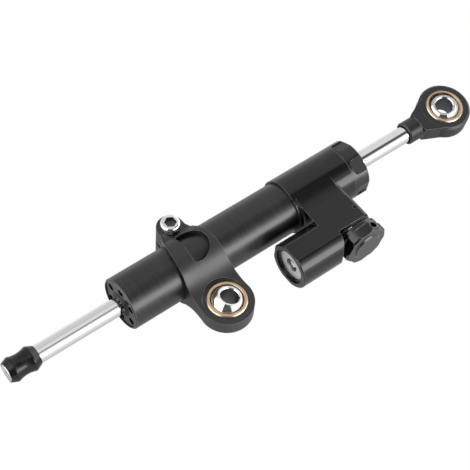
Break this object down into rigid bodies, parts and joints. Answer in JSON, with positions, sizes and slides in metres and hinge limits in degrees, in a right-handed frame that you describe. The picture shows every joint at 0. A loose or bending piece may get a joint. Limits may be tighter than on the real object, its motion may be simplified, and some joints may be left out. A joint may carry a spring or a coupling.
{
  "type": "motorcycle steering damper",
  "caption": "Through-rod motorcycle steering damper with an adjustable valve block, side reservoir, split clamp and spherical bearings at clamp and rod eye.",
  "frame": {"origin": "centre of the clamp's bearing ball", "axes": "+X along the piston rod towards its eye, +Y from the bearing ball to the rod's axis, +Z along the bearing's housing axis, away from the motorcycle's frame"},
  "size_m": [0.251, 0.0592, 0.028],
  "materials": {
    "tube_black": "satin black anodised, drawn along the tube",
    "block_black": "satin black anodised, milled and turned",
    "clamp_black": "matt black anodised",
    "knob_black": "bead-blasted black anodised",
    "eye_black": "black, slightly blue, satin",
    "rod_chrome": "hard chrome, ground and polished",
    "ball_chrome": "polished chrome steel",
    "screw_chrome": "bright plated steel",
    "race_bronze": "turned bronze",
    "bush_bronze": "sintered bronze",
    "cover_silver": "satin turned, clear anodised",
    "inner_alloy": "turned, bare",
    "inner_steel": "ground steel",
    "ring_black": "black oxide",
    "spring_steel": "drawn spring wire",
    "seal_rubber": "black nitrile rubber",
    "bumper_rubber": "moulded black rubber, slight sheen",
    "band_brown": "filled slide ring"
  },
  "bodies": {
    "damper_body": {"cylinder_tube": "tube_black", "front_gland": "block_black", "front_guide_bush": "bush_bronze", "front_rod_seal": "seal_rubber", "front_seal_washer": "inner_steel", "front_wiper": "seal_rubber", "front_gland_ring": "seal_rubber", "valve_block": "block_black", "seal_carrier": "inner_alloy", "seal_carrier_ring": "seal_rubber", "rear_rod_seal": "seal_rubber", "end_cap": "block_black", "rear_guide_bush": "bush_bronze", "rear_wiper": "seal_rubber", "reservoir_cover": "cover_silver", "reservoir_snap_ring": "ring_black", "passage_plug": "ring_black", "stem_gland": "bush_bronze", "stem_gland_ring": "seal_rubber", "needle_key": "inner_steel", "detent_ball": "ball_chrome", "detent_spring": "spring_steel", "compensator_spring": "spring_steel"},
    "rod": {"piston_rod": "rod_chrome", "piston": "inner_alloy", "piston_ring": "band_brown", "piston_clips": "ring_black", "end_bumper": "bumper_rubber", "rod_eye": "eye_black", "rod_eye_race": "race_bronze"},
    "rod_ball": {"rod_eye_ball": "ball_chrome"},
    "clamp": {"clamp_ring": "clamp_black", "clamp_screw": "screw_chrome", "clamp_race": "race_bronze"},
    "frame_ball": {"clamp_ball": "ball_chrome"},
    "adjuster": {"adjuster_knob": "knob_black", "knob_grub_screw": "ring_black", "adjuster_stem": "inner_steel"},
    "needle": {"valve_needle": "inner_steel"},
    "compensator": {"floating_piston": "inner_alloy", "floating_piston_ring": "seal_rubber", "level_pin": "inner_steel"}
  },
  "joints": [
    {"name": "rod_slide", "type": "slide", "parent": "damper_body", "child": "rod", "axis": [1, 0, 0], "range_m": [-0.03, 0.04]},
    {"name": "rod_ball_swivel", "type": "hinge", "parent": "rod", "child": "rod_ball", "pos_m": [0.1467, 0.0257, 0], "axis": [0, 0.9925, 0.1219], "range_deg": [-6, 22]},
    {"name": "clamp_slide", "type": "slide", "parent": "damper_body", "child": "clamp", "axis": [1, 0, 0], "range_m": [-0.02, 0.017]},
    {"name": "frame_ball_swivel", "type": "hinge", "parent": "clamp", "child": "frame_ball", "pos_m": [0, 0, 0], "axis": [0, 1, 0], "range_deg": [-27, 1]},
    {"name": "knob_turn", "type": "hinge", "parent": "damper_body", "child": "adjuster", "pos_m": [0.0679, -0.0039, 0], "axis": [0, -1, 0], "range_deg": [-180, 180]},
    {"name": "needle_slide", "type": "slide", "parent": "damper_body", "child": "needle", "axis": [0, -1, 0], "range_m": [-0.0005, 0.0005]},
    {"name": "compensator_slide", "type": "slide", "parent": "damper_body", "child": "compensator", "axis": [1, 0, 0], "range_m": [-0.0015, 0.0015], "stiffness_N_per_m": 3000, "deforming": ["compensator_spring"]}
  ],
  "couplings": [
    {"joint": "needle_slide", "follows": "knob_turn", "m_per_rad": 0.000159}
  ]
}
